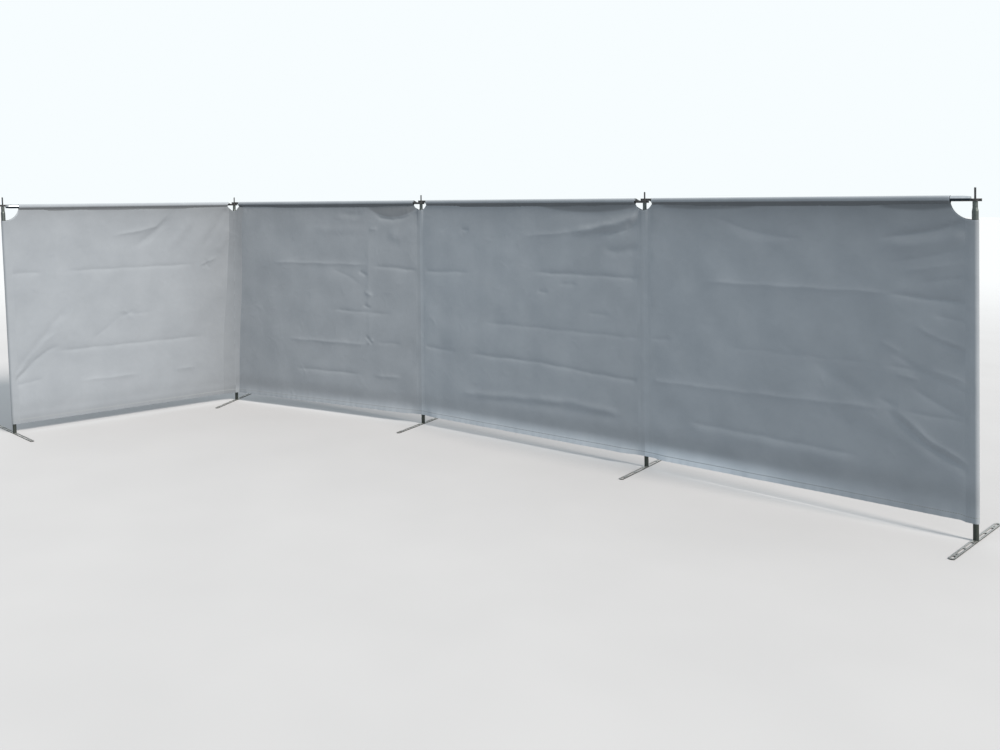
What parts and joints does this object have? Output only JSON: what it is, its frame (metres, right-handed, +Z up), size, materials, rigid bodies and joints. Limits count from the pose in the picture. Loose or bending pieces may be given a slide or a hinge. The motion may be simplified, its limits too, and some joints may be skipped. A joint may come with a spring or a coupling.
{
  "type": "beach windbreak",
  "caption": "Free-standing cloth windbreak wall hung from steel rails between poles on flat slotted feet, folding at each pole.",
  "frame": {"origin": "on the floor under the middle pole, pole 3", "axes": "+X along bay 3 from pole 3 to pole 4, +Y away from the sheltered side, +Z up"},
  "size_m": [5.3161, 2.1184, 1.4776],
  "materials": {
    "lower_tube": "galvanised steel tube, dull and dark",
    "upper_tube": "galvanised steel tube, dull",
    "pin_rod": "plain steel rod",
    "foot_steel": "pressed galvanised steel",
    "rail_tube": "bright plated steel tube",
    "eye_plastic": "black moulded nylon",
    "cloth": "grey woven polyester, stitched"
  },
  "bodies": {
    "bay_3": {"bay_3_rail": "rail_tube", "bay_3_eye_left": "eye_plastic", "bay_3_eye_right": "eye_plastic", "bay_3_sleeve": "cloth", "bay_3_panel": "cloth", "pocket_3": "cloth", "pocket_4": "cloth"},
    "bay_1": {"bay_1_rail": "rail_tube", "bay_1_eye_left": "eye_plastic", "bay_1_eye_right": "eye_plastic", "bay_1_sleeve": "cloth", "bay_1_panel": "cloth", "pocket_1": "cloth"},
    "bay_2": {"bay_2_rail": "rail_tube", "bay_2_eye_left": "eye_plastic", "bay_2_eye_right": "eye_plastic", "bay_2_sleeve": "cloth", "bay_2_panel": "cloth", "pocket_2": "cloth"},
    "bay_4": {"bay_4_rail": "rail_tube", "bay_4_eye_left": "eye_plastic", "bay_4_eye_right": "eye_plastic", "bay_4_sleeve": "cloth", "bay_4_panel": "cloth", "pocket_5": "cloth"},
    "pole_1": {"pole_1_lower_tube": "lower_tube", "pole_1_upper_tube": "upper_tube", "pole_1_pin": "pin_rod", "pole_1_foot": "foot_steel"},
    "pole_2": {"pole_2_lower_tube": "lower_tube", "pole_2_upper_tube": "upper_tube", "pole_2_pin": "pin_rod", "pole_2_foot": "foot_steel"},
    "pole_3": {"pole_3_lower_tube": "lower_tube", "pole_3_upper_tube": "upper_tube", "pole_3_pin": "pin_rod", "pole_3_foot": "foot_steel"},
    "pole_4": {"pole_4_lower_tube": "lower_tube", "pole_4_upper_tube": "upper_tube", "pole_4_pin": "pin_rod", "pole_4_foot": "foot_steel"},
    "pole_5": {"pole_5_lower_tube": "lower_tube", "pole_5_upper_tube": "upper_tube", "pole_5_pin": "pin_rod", "pole_5_foot": "foot_steel"}
  },
  "joints": [
    {"name": "fold_at_pole_3", "type": "hinge", "parent": "bay_3", "child": "bay_2", "pos_m": [0, 0, 1.42], "axis": [0, 0, 1], "range_deg": [-145.4, 124.6]},
    {"name": "fold_at_pole_4", "type": "hinge", "parent": "bay_3", "child": "bay_4", "pos_m": [1.56, 0, 1.42], "axis": [0, 0, 1], "range_deg": [-130, 140]},
    {"name": "fold_at_pole_2", "type": "hinge", "parent": "bay_2", "child": "bay_1", "pos_m": [-1.53437, -0.28161, 1.42], "axis": [0, 0, -1], "range_deg": [-68, 202]},
    {"name": "pole_1_turn", "type": "hinge", "parent": "bay_1", "child": "pole_1", "pos_m": [-1.86377, -1.75524, 0], "axis": [-0.0077, -0.0343, 0.9994], "range_deg": [-90, 90]},
    {"name": "pole_2_turn", "type": "hinge", "parent": "bay_2", "child": "pole_2", "pos_m": [-1.53437, -0.28161, 0], "axis": [0, 0, 1], "range_deg": [-90, 90]},
    {"name": "pole_3_turn", "type": "hinge", "parent": "bay_3", "child": "pole_3", "pos_m": [0, 0, 0], "axis": [0, 0, 1], "range_deg": [-90, 90]},
    {"name": "pole_4_turn", "type": "hinge", "parent": "bay_3", "child": "pole_4", "pos_m": [1.56, 0, 0], "axis": [0, 0, 1], "range_deg": [-90, 90]},
    {"name": "pole_5_turn", "type": "hinge", "parent": "bay_4", "child": "pole_5", "pos_m": [3.11406, -0.13596, 0], "axis": [0, 0, 1], "range_deg": [-90, 90]}
  ]
}
